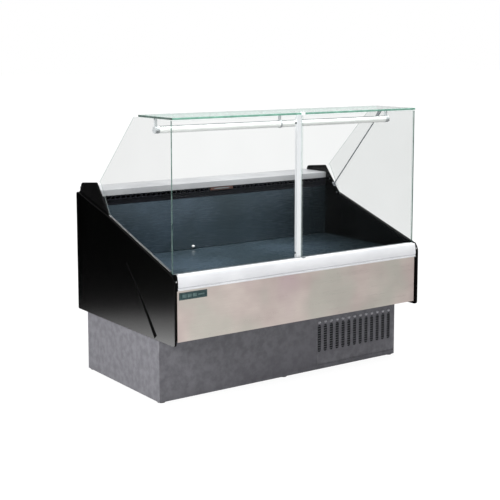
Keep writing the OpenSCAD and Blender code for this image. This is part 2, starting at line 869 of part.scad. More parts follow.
// Screws on the post's side and on the ears
module trim_screws() {
    color("dimgray") {
        for (z = [653, top_z0 - 42])
            rod_x(-post_w / 2 - 5, -post_w / 2, post_d + 9, z, 5.5);
        for (s = [-1, 1], p = [[636, 836], [700, 906]])
            rod_x(s > 0 ? wall_in - 1.5 : -wall_in, s > 0 ? wall_in : -wall_in + 1.5, p[0], p[1], 6);
    }
}

module top_glass() {
    color([0.45, 0.7, 0.62, 0.5])
        slab([-pane_half, pane_half], [20, 20 + top_d], [top_z0, glass_top_z]);
}

// End pane: it stands in the glazing channel and its back edge slopes down to the ear
module side_glass() {
    foot = edge_z(0) - 8;
    run_x(side_glass_x, side_glass_x + side_glass_t)
        polygon([[side_d0, side_z1], [side_d0, 640], [47, foot + slope_k * 47 + 0.5],
                 [kink_d - 3, foot + slope_k * (kink_d - 3)], [kink_d - 3, edge_z(kink_d) + wall_rise + 2],
                 [ear_front[0] - 44, ear_front[1] - 2], [ear_front[0] - 30, ear_front[1] + 6],
                 [365, side_z1]]);
}

module left_side_glass() {
    color([0.75, 0.9, 0.85, 0.35]) left_hand() side_glass();
}

module right_side_glass() {
    color([0.75, 0.9, 0.85, 0.35]) side_glass();
}

// The channels that hold the end panes along the slope
module glazing_channel() {
    a = 46;
    b = kink_d - 1;
    difference() {
        run_x(wall_in, wall_out)
            polygon([[a, edge_z(a) - 12.8], [b, edge_z(b) - 12.8], [b, edge_z(b) + wall_rise],
                     [a, edge_z(a) + wall_rise]]);
        run_x(side_glass_x - 0.1, side_glass_x + side_glass_t + 0.1)
            polygon([[a - 5, edge_z(a - 5) - 8.2], [b + 5, edge_z(b + 5) - 8.2], [b + 5, edge_z(b) + 40],
                     [a - 5, edge_z(a) + 40]]);
    }
}

module glazing_channels() {
    color("gainsboro") {
        glazing_channel();
        left_hand() glazing_channel();
    }
}

// ---- lamp ----

module lamp_tube() {
    color("white") rod_x(-lamp_half, lamp_half, lamp_d, lamp_z, lamp_r);
}

// End holders and the clip in the middle, each hung from a pad under the top glass
module lamp_brackets() {
    color("dimgray") {
        for (s = [-1, 1]) {
            x0 = s > 0 ? lamp_half : -lamp_half - 22;
            rod_x(x0, x0 + 22, lamp_d, lamp_z, lamp_r);
            slab([x0 + 3, x0 + 12], [lamp_d - 8, lamp_d + 8], [lamp_z, top_z0 - 0.2]);
        }
        difference() {
            union() {
                rod_x(-5, 5, lamp_d, lamp_z, lamp_r + 2.5);
                slab([-5, 5], [lamp_d - 6, lamp_d + 6], [lamp_z, top_z0 - 0.2]);
                rod_z(0, lamp_d, top_z0 - 3, top_z0 - 0.2, 14);
            }
            rod_x(-20, 20, lamp_d, lamp_z, lamp_r + 0.1);
        }
    }
}

// Stay that carries the lamp's lead down to the right ear: a flat head under the top glass,
// and a tab at the foot that lies on the ear's slope
module lamp_stay() {
    kink = [kink_d, edge_z(kink_d) + wall_rise];
    t = unit(ear_front - kink);
    n = [-t[1], t[0]];
    spot = kink + 61 * t;
    foot = spot + 3 * n;
    v = unit(foot - stay_top);
    side = [v[1], -v[0]];
    head = 85;
    color("gray") {
        run_x(stay_x - 6, wall_out)
            polygon([spot - 13 * t + 0.1 * n, spot + 13 * t + 0.1 * n, foot + 13 * t, foot - 13 * t]);
        bar([stay_x, foot[0], foot[1]], [stay_x, stay_top[0], stay_top[1]], 3.5);
        bar([stay_x, foot[0], foot[1]], [stay_x, (foot - 12 * v)[0], (foot - 12 * v)[1]], 6);
        run_x(stay_x - 2, stay_x + 2)
            polygon([stay_top, stay_top + head * v, stay_top + head * v - 10 * side,
                     stay_top + 22 * v - 20 * side, stay_top - 4 * side]);
    }
}

// ---- controls ----

module control_panel() {
    color("darkslategray")
        difference() {
            union() {
                slab([panel_x - 150, panel_x + 150], [tub_back + 2.3, tub_back + 4.3],
                     [control_z - 40, control_z + 40]);
                slab([panel_x - 138, panel_x + 138], [tub_back - 42, tub_back + 2.3],
                     [control_z - 28, control_z + 28]);
            }
            slab([panel_x - 135, panel_x + 135], [tub_back - 39, tub_back + 0.3],
                 [control_z - 25, control_z + 25]);
            slab([panel_x - 112, panel_x - 34], [tub_back - 5, tub_back + 9],
                 [control_z - 15, control_z + 15]);
            for (x = [25, 85]) {
                slab([panel_x + x - 9.5, panel_x + x + 9.5], [tub_back - 5, tub_back + 9],
                     [control_z - 15, control_z + 15]);
                rod_x(panel_x + x - 11.6, panel_x + x + 11.6, tub_back + rocker_d, control_z,
                      rocker_r + fit_r);
            }
        }
}

module controller() {
    color("black") {
        slab([panel_x - 111.5, panel_x - 34.5], [tub_back - 30, tub_back + 5],
             [control_z - 14.5, control_z + 14.5]);
        slab([panel_x - 115, panel_x - 31], [tub_back + 4.4, tub_back + 7],
             [control_z - 18, control_z + 18]);
    }
}

// A rocker on its pin, with two faces that meet at a shallow angle; it is stored tipped to its off side
rocker_tip = 9;
rocker_d = 1;
rocker_r = 1.2;
module rocker(x) {
    rod_x(panel_x + x - 11.5, panel_x + x + 11.5, tub_back + rocker_d, control_z, rocker_r);
    translate([panel_x + x, at(tub_back + rocker_d), control_z])
        rotate([rocker_tip, 0, 0])
            translate([-8.5, 0, 0])
                rotate([90, 0, 90])
                    linear_extrude(17)
                        polygon([[-2, -10], [-2, 10], [5.6, 12.2], [4.2, 0], [5.6, -12.2]]);
}

module power_switch() {
    color("red") rocker(25);
}

module lamp_switch() {
    color("green") rocker(85);
}

levelling_feet();
base_frame();
base_left_panel();
base_right_panel();
base_front_panel();
intake_grille();
base_rear_panel();
power_gland();
unit_plate();
compressor();
condenser_coil();
fan_shroud();
condenser_fan_motor();
condenser_fan();
refrigerant_pipes();
drain_tray();
drain_pipe();
tub();
insulation();
left_end_wall();
right_end_wall();
left_side_cover();
right_side_cover();
front_panel();
badge_plate();
bumper_rail();
rear_panel();
worktop();
back_panel();
air_outlet();
return_grille();
deck_pan_left();
deck_pan_centre();
deck_pan_right();
evaporator_coil();
fan_plate();
evaporator_fan_motors();
evaporator_fan_left();
evaporator_fan_right();
thermometer();
probe();
hinge_pins();
left_glass_shoe();
left_front_glass();
right_glass_shoe();
right_front_glass();
centre_post();
post_clip();
trim_screws();
top_glass();
left_side_glass();
right_side_glass();
glazing_channels();
lamp_tube();
lamp_brackets();
lamp_stay();
control_panel();
controller();
power_switch();
lamp_switch();
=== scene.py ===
import json
import math
import bmesh
import bpy
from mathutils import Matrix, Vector


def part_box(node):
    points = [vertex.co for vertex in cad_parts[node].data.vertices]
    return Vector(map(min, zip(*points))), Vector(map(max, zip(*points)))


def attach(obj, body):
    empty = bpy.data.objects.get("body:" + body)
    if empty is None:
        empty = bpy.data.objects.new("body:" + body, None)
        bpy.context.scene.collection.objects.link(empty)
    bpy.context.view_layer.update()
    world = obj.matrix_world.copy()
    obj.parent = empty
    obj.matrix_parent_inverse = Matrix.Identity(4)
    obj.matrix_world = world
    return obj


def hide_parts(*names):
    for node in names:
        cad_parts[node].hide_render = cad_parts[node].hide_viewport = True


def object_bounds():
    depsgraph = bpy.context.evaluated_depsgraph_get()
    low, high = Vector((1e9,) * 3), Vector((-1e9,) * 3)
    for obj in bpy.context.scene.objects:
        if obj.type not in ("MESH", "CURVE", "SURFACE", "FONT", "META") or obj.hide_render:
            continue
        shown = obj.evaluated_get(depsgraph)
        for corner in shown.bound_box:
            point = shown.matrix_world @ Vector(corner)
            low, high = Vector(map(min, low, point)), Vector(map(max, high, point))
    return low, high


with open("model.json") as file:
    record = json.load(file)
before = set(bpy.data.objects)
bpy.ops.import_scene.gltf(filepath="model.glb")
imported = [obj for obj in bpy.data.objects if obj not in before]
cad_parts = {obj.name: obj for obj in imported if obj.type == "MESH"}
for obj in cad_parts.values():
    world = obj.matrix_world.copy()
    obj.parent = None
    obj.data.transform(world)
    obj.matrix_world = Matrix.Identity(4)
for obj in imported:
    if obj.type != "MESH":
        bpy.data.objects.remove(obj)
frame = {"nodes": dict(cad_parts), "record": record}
CAD_LO, CAD_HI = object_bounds()
NODES = frame["nodes"]
RECORD = frame["record"]
SLOT_OF = {part["node"]: part["material_slot"] for part in RECORD["subparts"]}
BODY_OF = {node: body for body, members in RECORD["behaviour"]["bodies"].items() for node in members}
MM = 0.001
GRAIN_DEPTH = 0.2 * MM
FRONT_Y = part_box("front_panel")[0].y


def at(depth_mm):
    """The Y of a depth in millimetres behind the front panel's face."""
    return FRONT_Y + depth_mm * MM


def rgb(code):
    """Linear colour of an sRGB hex code."""
    parts = [int(code[i : i + 2], 16) / 255 for i in (0, 2, 4)]
    return tuple(c / 12.92 if c <= 0.04045 else ((c + 0.055) / 1.055) ** 2.4 for c in parts)


# ---- materials ----


class Look:
    """A procedural node material under construction."""

    def __init__(self, name):
        self.mat = bpy.data.materials.new(name)
        self.mat.use_nodes = True
        self.tree = self.mat.node_tree
        self.tree.nodes.clear()
        self.out = self.add("ShaderNodeOutputMaterial")
        self.place = self.add("ShaderNodeTexCoord").outputs["Object"]

    def add(self, kind, inputs=None, **settings):
        node = self.tree.nodes.new(kind)
        for key, value in settings.items():
            setattr(node, key, value)
        for key, value in (inputs or {}).items():
            self.put(node.inputs[key], value)
        return node

    def put(self, socket, value):
        if isinstance(value, bpy.types.NodeSocket):
            self.tree.links.new(value, socket)
        elif socket.type == "RGBA" and len(value) == 3:
            socket.default_value = (*value, 1)
        else:
            socket.default_value = value

    def noise(self, scale, stretch=(1, 1, 1), detail=3.0, rough=0.55):
        spot = self.add("ShaderNodeMapping", {"Vector": self.place, "Scale": stretch}).outputs[0]
        settings = {"Vector": spot, "Scale": scale, "Detail": detail, "Roughness": rough}
        return self.add("ShaderNodeTexNoise", settings).outputs["Fac"]

    def cells(self, scale, output="Distance"):
        return self.add("ShaderNodeTexVoronoi", {"Vector": self.place, "Scale": scale}).outputs[output]

    def along(self, vector, axis):
        return self.add("ShaderNodeSeparateXYZ", {"Vector": vector}).outputs[axis]

    def span(self, value, lo, hi, start=0.3, end=0.7):
        node = self.add(
            "ShaderNodeMapRange",
            {"Value": value, "From Min": start, "From Max": end, "To Min": lo, "To Max": hi},
            interpolation_type="SMOOTHSTEP",
        )
        return node.outputs[0]

    def blend(self, share, a, b):
        node = self.add("ShaderNodeMix", data_type="RGBA")
        self.put(node.inputs["Factor"], share)
        self.put([s for s in node.inputs if s.name == "A" and s.type == "RGBA"][0], a)
        self.put([s for s in node.inputs if s.name == "B" and s.type == "RGBA"][0], b)
        return [s for s in node.outputs if s.type == "RGBA"][0]

    def maths(self, operation, a, b=0.0):
        node = self.add("ShaderNodeMath", operation=operation)
        self.put(node.inputs[0], a)
        self.put(node.inputs[1], b)
        return node.outputs[0]

    def bump(self, height, strength, distance=GRAIN_DEPTH):
        settings = {"Height": height, "Strength": strength, "Distance": distance}
        return self.add("ShaderNodeBump", settings).outputs[0]

    def finish(self, shader):
        self.put(self.out.inputs["Surface"], shader.outputs[0])
        return self.mat


def surface(
    name,
    dark,
    light,
    rough=(0.35, 0.5),
    metal=0.0,
    patch=4.0,
    grain=900.0,
    stretch=(1, 1, 1),
    bump=0.15,
    depth=GRAIN_DEPTH,
    edge_lighten=0.0,
    edge_colour=(0.6, 0.6, 0.6),
    painted_shade_x=None,
    **more,
):
    """A finish whose colour drifts in large patches and whose fine grain sets roughness and bump."""
    look = Look(name)
    patches = look.noise(patch, detail=4.0)
    fine = look.noise(grain, stretch, detail=2.0)
    colour = look.blend(look.span(patches, 0.0, 1.0), dark, light)
    colour = look.blend(look.span(fine, 0.0, 0.25), colour, dark)
    # Painted shade and painted reflection: towards +X the colour darkens to 35 % of dark, standing in for
    # the shade and reflection of the black right end wall.
    if painted_shade_x:
        painted_shade_colour = tuple(0.35 * c for c in dark)
        colour = look.blend(look.span(look.along(look.place, "X"), 0.0, 1.0, *painted_shade_x), colour, painted_shade_colour)
    # Sharp convex edges (high pointiness) turn towards a lighter edge colour, more in some patches than in
    # others.
    if edge_lighten:
        edge = look.add("ShaderNodeNewGeometry").outputs["Pointiness"]
        sharp = look.span(edge, 0.0, edge_lighten, 0.52, 0.6)
        edge_share = look.maths("MULTIPLY", sharp, look.span(patches, 0.3, 1.0))
        colour = look.blend(edge_share, colour, edge_colour)
    shader = look.add("ShaderNodeBsdfPrincipled", {"Metallic": metal})
    look.put(shader.inputs["Base Color"], colour)
    mixed = look.maths("ADD", look.maths("MULTIPLY", fine, 0.6), look.maths("MULTIPLY", patches, 0.4))
    look.put(shader.inputs["Roughness"], look.span(mixed, rough[0], rough[1]))
    look.put(shader.inputs["Normal"], look.bump(fine, bump, depth))
    for key, value in more.items():
        look.put(shader.inputs[key.replace("_", " ")], value)
    return look.finish(shader)


def brushed(
    name,
    dark,
    light,
    along=(0.02, 1, 1),
    rough=(0.26, 0.4),
    tint=None,
    metal=1.0,
    painted_glow=0.0,
):
    """Sheet metal brushed along one axis, with faint cloudy patches."""
    look = Look(name)
    clouds = look.noise(3.2, (1, 1, 1.6), detail=3.0)
    lines = look.noise(520.0, along, detail=3.0, rough=0.7)
    wide = look.noise(90.0, along, detail=2.0)
    colour = look.blend(look.span(clouds, 0.0, 1.0), dark, light)
    # Painted reflection: the pink and green tint patches stand in for tinted reflections on the sheet.
    if tint:
        hue = look.noise(2.6, (1, 1, 0.8), detail=2.0)
        colour = look.blend(look.span(hue, 0.0, 0.6, 0.5, 0.66), colour, tint[0])
        colour = look.blend(look.span(hue, 0.6, 0.0, 0.34, 0.5), colour, tint[1])
    colour = look.blend(look.span(lines, 0.0, 0.3), colour, dark)
    shader = look.add("ShaderNodeBsdfPrincipled", {"Metallic": metal, "Anisotropic": 0.35})
    look.put(shader.inputs["Base Color"], colour)
    mixed = look.maths("ADD", look.maths("MULTIPLY", lines, 0.5), look.maths("MULTIPLY", wide, 0.5))
    look.put(shader.inputs["Roughness"], look.span(mixed, rough[0], rough[1]))
    look.put(shader.inputs["Normal"], look.bump(mixed, 0.05))
    # Painted light: a glow strength above zero makes the surface glow in its own colour, though it is no
    # lamp.
    look.put(shader.inputs["Emission Color"], colour)
    look.put(shader.inputs["Emission Strength"], painted_glow)
    return look.finish(shader)


def moulded(name, face, light, outer_x):
    """Glossy black moulding: polished on its outer face, and dead matt in its groove and on its rims."""
    look = Look(name)
    patches = look.noise(2.5, detail=4.0)
    fine = look.noise(1100.0, detail=2.0)
    out = look.maths("ABSOLUTE", look.along(look.place, "X"))
    outer = look.span(out, 0.0, 1.0, outer_x - 0.6 * MM, outer_x - 0.2 * MM)
    shader = look.add("ShaderNodeBsdfPrincipled")
    shine = look.blend(look.span(patches, 0.0, 1.0), face, light)
    look.put(shader.inputs["Base Color"], look.blend(outer, face, shine))
    polish = look.maths("MULTIPLY", outer, 0.54)
    look.put(shader.inputs["Roughness"], look.maths("SUBTRACT", look.span(fine, 0.6, 0.66), polish))
    gloss = look.maths("ADD", look.maths("MULTIPLY", outer, 0.72), 0.08)
    look.put(shader.inputs["Specular IOR Level"], gloss)
    look.put(shader.inputs["Normal"], look.bump(fine, 0.02))
    return look.finish(shader)


def channel(name, lit, shaded):
    """Anodised glazing channel in painted light: a light grey painted highlight on its upward faces, strong
    on the left and weak on the right, and painted black shade on its sides.
    """
    look = Look(name)
    patches = look.noise(30.0, (0.1, 1, 1), detail=3.0)
    fine = look.noise(800.0)
    normal = look.add("ShaderNodeNewGeometry").outputs["Normal"]
    # Painted highlight on faces that point up; the rest takes the shaded black.
    upward = look.span(look.along(normal, "Z"), 0.0, 1.0, 0.5, 0.8)
    # Painted light: the highlight is full at -X and falls to a fifth at +X.
    side = look.span(look.along(look.place, "X"), 1.0, 0.2, -0.5, 0.5)
    # Painted light mask: where it is 1 the channel shows the lit colour, elsewhere the shaded black.
    bare = look.maths("MULTIPLY", upward, side)
    shader = look.add("ShaderNodeBsdfPrincipled", {"Metallic": 0.3, "Specular IOR Level": 0.3})
    top = look.blend(look.span(patches, 0.0, 1.0), lit, tuple(0.85 * c for c in lit))
    look.put(shader.inputs["Base Color"], look.blend(bare, shaded, top))
    look.put(shader.inputs["Roughness"], look.span(fine, 0.38, 0.5))
    look.put(shader.inputs["Normal"], look.bump(fine, 0.05))
    return look.finish(shader)


def galvanised(name):
    """Zinc-coated sheet with its spangle."""
    look = Look(name)
    spangle = look.cells(70.0, output="Color")
    grey = look.add("ShaderNodeSeparateColor", {"Color": spangle}).outputs[0]
    fine = look.noise(400.0)
    colour = look.blend(look.span(grey, 0.0, 1.0, 0.0, 1.0), rgb("8f9496"), rgb("b6babb"))
    colour = look.blend(look.span(fine, 0.0, 0.3), colour, rgb("7d8284"))
    shader = look.add("ShaderNodeBsdfPrincipled", {"Metallic": 0.85})
    look.put(shader.inputs["Base Color"], colour)
    look.put(shader.inputs["Roughness"], look.span(grey, 0.34, 0.52, 0.0, 1.0))
    look.put(shader.inputs["Normal"], look.bump(fine, 0.12))
    return look.finish(shader)


def glass_face(name, clear, grazing, gloss, gloss_grazing):
    """A pane's face: see-through, a little tinted, and greener where it's seen along its surface."""
    least_shine, most_shine = 0.04, 0.9
    look = Look(name)
    facing = look.add("ShaderNodeLayerWeight", {"Blend": 0.5}).outputs["Facing"]
    edge_on = look.span(facing, 0.0, 1.0, 0.82, 0.955)
    haze = look.noise(5.0, detail=4.0)
    tint = look.blend(look.span(haze, 0.0, 0.5), clear, tuple(0.985 * c for c in clear))
    through = look.add("ShaderNodeBsdfTransparent", {"Color": look.blend(edge_on, tint, grazing)})
    smear = look.noise(60.0, (1, 1, 0.2), detail=3.0)
    shine = look.add(
        "ShaderNodeBsdfGlossy",
        {"Color": look.blend(edge_on, gloss, gloss_grazing), "Roughness": look.span(smear, 0.012, 0.035)},
    )
    rise = look.maths("MULTIPLY", look.maths("POWER", facing, 5.0), most_shine - least_shine)
    mix = look.add("ShaderNodeMixShader", {"Fac": look.maths("ADD", rise, least_shine)})
    look.put(mix.inputs[1], through.outputs[0])
    look.put(mix.inputs[2], shine.outputs[0])
    return look.finish(mix)


def glass_edge(name, dark, light, see):
    """A ground and polished glass edge; see is the share of light that goes through it."""
    look = Look(name)
    streak = look.noise(40.0)
    colour = look.blend(look.span(streak, 0.0, 1.0), dark, light)
    body = look.add("ShaderNodeBsdfPrincipled", {"Specular IOR Level": 0.6})
    look.put(body.inputs["Base Color"], colour)
    look.put(body.inputs["Roughness"], look.span(streak, 0.12, 0.3))
    look.put(body.inputs["Normal"], look.bump(look.noise(300.0), 0.08))
    through = look.add("ShaderNodeBsdfTransparent", {"Color": light})
    mix = look.add("ShaderNodeMixShader", {"Fac": see})
    look.put(mix.inputs[1], body.outputs[0])
    look.put(mix.inputs[2], through.outputs[0])
    return look.finish(mix)


def glowing(name, colour, strength):
    """An opal lamp diffuser."""
    look = Look(name)
    milky = look.noise(30.0, (0.2, 1, 1), detail=3.0)
    settings = {"Emission Color": colour, "Emission Strength": strength, "Coat Weight": 0.3}
    shader = look.add("ShaderNodeBsdfPrincipled", settings)
    dimmer = tuple(0.95 * c for c in colour)
    look.put(shader.inputs["Base Color"], look.blend(look.span(milky, 0.0, 1.0), colour, dimmer))
    look.put(shader.inputs["Roughness"], look.span(milky, 0.3, 0.42))
    look.put(shader.inputs["Normal"], look.bump(look.noise(700.0), 0.05))
    return look.finish(shader)


def foam(name):
    """Cut polyurethane foam with its small cells, painted darker in their hollows as shade."""
    look = Look(name)
    cells = look.cells(900.0)
    patches = look.noise(9.0)
    colour = look.blend(look.span(patches, 0.0, 1.0), rgb("c9a860"), rgb("dcc487"))
    shader = look.add("ShaderNodeBsdfPrincipled", {"Roughness": 0.9})
    # Painted shade: the foam darkens in its cell hollows, where shade falls.
    pore_shade = look.span(cells, 0.5, 0.0, 0.0, 0.3)
    look.put(shader.inputs["Base Color"], look.blend(pore_shade, colour, rgb("8a6e35")))
    look.put(shader.inputs["Normal"], look.bump(cells, 0.5, 0.5 * MM))
    return look.finish(shader)


LOOKS = {
    "black_plastic": moulded("black_plastic", rgb("020202"), rgb("040404"), CAD_HI.x),
    "wall_plastic": surface(
        "wall_plastic", rgb("020202"), rgb("040405"), rough=(0.2, 0.3), patch=3.0, grain=900.0, bump=0.03,
        edge_lighten=0.2, edge_colour=rgb("0c0c0d"), Specular_IOR_Level=0.2,
    ),
    "plinth_paint": surface(
        "plinth_paint", rgb("5f5e64"), rgb("6b6a70"), rough=(0.42, 0.6), patch=30.0, grain=260.0, bump=0.22,
        depth=2 * GRAIN_DEPTH, edge_lighten=0.3, edge_colour=rgb("a5a5a8"), Specular_IOR_Level=0.4,
    ),
    # stainless: its pink and green tint patches are a painted reflection.
    "stainless": brushed("stainless", rgb("d6c6c1"), rgb("efe2da"), tint=(rgb("cdd2c5"), rgb("d9c0c6"))),
    "rear_steel": brushed("rear_steel", rgb("b4b6b8"), rgb("c9cbcc"), rough=(0.3, 0.45)),
    "rail_aluminium": brushed(
        "rail_aluminium", rgb("e3e4e7"), rgb("f5f6f8"), rough=(0.34, 0.46), metal=0.35
    ),
    "shoe_aluminium": brushed("shoe_aluminium", rgb("c8cacc"), rgb("dddfe0"), rough=(0.3, 0.42), metal=0.8),
    "clear_glass": glass_face(
        "clear_glass", (0.972, 0.977, 0.975), (0.5, 0.62, 0.58), (0.09, 0.096, 0.093), (0.5, 0.6, 0.56)
    ),
    "top_glass": glass_face(
        "top_glass", (0.965, 0.985, 0.978), (0.94, 0.985, 0.975), (0.5, 0.53, 0.52), (0.98, 1.0, 1.0)
    ),
    # deck_steel darkens towards +X: painted shade and painted reflection of the black right end wall.
    "deck_steel": surface(
        "deck_steel", rgb("3a4850"), rgb("536371"), rough=(0.2, 0.32), metal=0.45, patch=2.2, grain=500.0,
        stretch=(0.05, 1, 1), bump=0.02, painted_shade_x=(0.15, 0.75), Specular_IOR_Level=0.6,
    ),
    "galvanised": galvanised("galvanised"),
    "coil_aluminium": brushed(
        "coil_aluminium", rgb("a9adb0"), rgb("c8cccf"), along=(1, 1, 0.05), rough=(0.3, 0.5)
    ),
    "copper": surface(
        "copper", rgb("4a3026"), rgb("664435"), rough=(0.35, 0.6), metal=1.0, patch=25.0, grain=300.0
    ),
    "foam": foam("foam"),
    "black_enamel": surface(
        "black_enamel", rgb("0d0d0e"), rgb("19191b"), rough=(0.2, 0.38), patch=12.0, grain=240.0, bump=0.2,
        depth=2 * GRAIN_DEPTH, Coat_Weight=0.4,
    ),
    "motor_black": surface(
        "motor_black", rgb("141415"), rgb("222224"), rough=(0.45, 0.6), patch=12.0, grain=500.0
    ),
    "fan_plastic": surface(
        "fan_plastic", rgb("1d1e20"), rgb("2c2d30"), rough=(0.4, 0.55), patch=10.0, grain=700.0
    ),
    "foot_rubber": surface(
        "foot_rubber", rgb("232325"), rgb("39393b"), rough=(0.6, 0.8), patch=40.0, grain=600.0
    ),
    "gland_plastic": surface(
        "gland_plastic", rgb("17181a"), rgb("242528"), rough=(0.4, 0.55), patch=40.0, grain=900.0
    ),
    "pipe_plastic": surface(
        "pipe_plastic", rgb("c9cac8"), rgb("dfe0de"), rough=(0.35, 0.5), patch=20.0, grain=600.0
    ),
    "screw_steel": brushed("screw_steel", rgb("8d9093"), rgb("b9bcbe"), along=(1, 1, 1), rough=(0.25, 0.4)),
    "stay_steel": surface(
        "stay_steel", rgb("8f9195"), rgb("a4a7aa"), rough=(0.35, 0.5), metal=0.3, patch=30.0, grain=600.0
    ),
    "bracket_plastic": surface(
        "bracket_plastic", rgb("c2c4c6"), rgb("d6d8da"), rough=(0.4, 0.55), patch=30.0, grain=800.0
    ),
    "lamp_white": glowing("lamp_white", rgb("f4f5f2"), 0.28),
    "badge_plate": surface(
        "badge_plate", rgb("22393b"), rgb("31494b"), rough=(0.3, 0.45), metal=0.3, patch=40.0, grain=700.0
    ),
    "thermometer_plastic": surface(
        "thermometer_plastic", rgb("4a302a"), rgb("5e4038"), rough=(0.3, 0.45), patch=30.0, grain=700.0
    ),
    "probe_plastic": surface(
        "probe_plastic", rgb("d8dada"), rgb("f0f1f1"), rough=(0.35, 0.5), patch=60.0, grain=900.0
    ),
    "control_fascia": surface(
        "control_fascia", rgb("26282b"), rgb("35383c"), rough=(0.4, 0.55), patch=20.0, grain=800.0
    ),
    "controller_plastic": surface(
        "controller_plastic", rgb("0e0f10"), rgb("191b1d"), rough=(0.2, 0.35), patch=30.0, grain=800.0
    ),
    "power_rocker": surface(
        "power_rocker", rgb("7d0f12"), rgb("a3181b"), rough=(0.25, 0.4), patch=60.0, grain=900.0
    ),
    "lamp_rocker": surface(
        "lamp_rocker", rgb("13602c"), rgb("1c7d3b"), rough=(0.25, 0.4), patch=60.0, grain=900.0
    ),
}
EDGE_GLASS = glass_edge("pane_edge", rgb("24403a"), rgb("67827a"), see=0.4)
TOP_EDGE = glass_edge("top_glass_edge", rgb("6a9a8a"), rgb("8cbcaa"), see=0.15)
TOP_END = glass_edge("top_glass_end", rgb("46544f"), rgb("62716c"), see=0.2)
# Painted highlight: the grille's pressed bosses are coloured far lighter than the plinth paint they are
# pressed in, as if catching the light.
BOSS_HIGHLIGHT = surface("boss_highlight", rgb("a5a4aa"), rgb("bbbac0"), rough=(0.35, 0.5), patch=60.0, grain=400.0)
# Painted light: the white post and its clip glow at 0.42 in their own colour, so they look brighter than the
# lamps make them.
POST_PAINT_AND_GLOW = brushed(
    "post_paint_and_glow", rgb("f2f3f6"), rgb("fbfbfd"), along=(1, 1, 0.02), rough=(0.32, 0.42), metal=0.65, painted_glow=0.42
)
SIDE_EDGE = glass_edge("side_pane_edge", rgb("c3cecb"), rgb("e2e9e7"), see=0.85)
WORKTOP = brushed("worktop_steel", rgb("b4b5b8"), rgb("cfd0d2"), rough=(0.3, 0.42), metal=0.55)
OUTLET = surface(
    "outlet_plastic", rgb("131418"), rgb("1c1d23"), rough=(0.5, 0.65), patch=12.0, grain=900.0,
    Specular_IOR_Level=0.2,
)
# The glazing channels' light top is a painted highlight, and their black sides are painted shade.
CHANNEL = channel("channel_edge", rgb("dcdde0"), rgb("050506"))
FILTER_MAT = surface(
    "filter_mat", rgb("17181b"), rgb("2a2b30"), rough=(0.75, 0.9), patch=25.0, grain=420.0, bump=0.6
)
WIRE = brushed(
    "filter_wire", rgb("6a6b70"), rgb("85868b"), along=(0.02, 1, 1), rough=(0.35, 0.5), metal=0.5
)
MARK_PAINT = surface("mark_paint", rgb("48605f"), rgb("5f7676"), rough=(0.35, 0.5), patch=90.0, grain=900.0)
SCALE_FACE = surface("scale_face", rgb("6d7476"), rgb("7f8688"), rough=(0.4, 0.5), patch=90.0, grain=900.0)
CHROME = brushed("chrome", rgb("d9dadc"), rgb("f0f0f2"), along=(1, 1, 1), rough=(0.12, 0.2))
SPINE = brushed("spine_aluminium", rgb("7c7f84"), rgb("94979b"), rough=(0.35, 0.5), metal=0.4)
KEY_RUBBER = surface("key_rubber", rgb("5f6367"), rgb("7b8084"), rough=(0.5, 0.65), patch=90.0, grain=900.0)
WINDOW = surface(
    "window_plastic", rgb("120405"), rgb("220708"), rough=(0.05, 0.12), patch=40.0, grain=400.0, bump=0.02
)


# ---- the CAD nodes' finish ----


def tidy_group():
    """Geometry nodes that weld a CAD mesh and mark its edges as smooth or sharp by angle."""
    group = bpy.data.node_groups.new("tidy", "GeometryNodeTree")
    for way in ("INPUT", "OUTPUT"):
        group.interface.new_socket("Geometry", in_out=way, socket_type="NodeSocketGeometry")
    nodes, links = group.nodes, group.links
    start = nodes.new("NodeGroupInput")
    bare = nodes.new("GeometryNodeRemoveAttribute")
    bare.inputs["Name"].default_value = "custom_normal"
    weld = nodes.new("GeometryNodeMergeByDistance")
    weld.inputs["Distance"].default_value = 1e-5
    faces = nodes.new("GeometryNodeSetShadeSmooth")
    angle = nodes.new("GeometryNodeInputMeshEdgeAngle")
    less = nodes.new("FunctionNodeCompare")
    less.data_type = "FLOAT"
    less.operation = "LESS_THAN"
    less.inputs["B"].default_value = math.radians(30)
    edges = nodes.new("GeometryNodeSetShadeSmooth")
    edges.domain = "EDGE"
    end = nodes.new("NodeGroupOutput")
    links.new(start.outputs[0], bare.inputs["Geometry"])
    links.new(bare.outputs[0], weld.inputs["Geometry"])
    links.new(weld.outputs[0], faces.inputs["Geometry"])
    links.new(faces.outputs[0], edges.inputs["Geometry"])
    links.new(angle.outputs["Unsigned Angle"], less.inputs["A"])
    links.new(less.outputs[0], edges.inputs["Shade Smooth"])
    links.new(edges.outputs[0], end.inputs[0])
    return group


TIDY = tidy_group()
NO_BEVEL = {"condenser_coil", "evaporator_coil", "insulation", "tub"}
USUAL_BEVEL_MM = 0.5
BEVEL_MM = {
    "left_side_cover": 2.4, "right_side_cover": 2.4, "left_end_wall": 2.2, "right_end_wall": 2.2,
    "centre_post": 1.2, "bumper_rail": 0.5, "worktop": 0.5, "front_panel": 0.6, "base_left_panel": 0.8,
    "base_right_panel": 0.8, "levelling_feet": 0.8, "compressor": 1.0, "controller": 1.0,
    "control_panel": 0.8, "thermometer": 0.7, "probe": 1.2, "power_gland": 0.8, "post_clip": 0.4,
}
OWN_LOOK = {
    "centre_post": POST_PAINT_AND_GLOW, "post_clip": POST_PAINT_AND_GLOW, "worktop": WORKTOP, "air_outlet": OUTLET,
    "glazing_channels": CHANNEL,
}


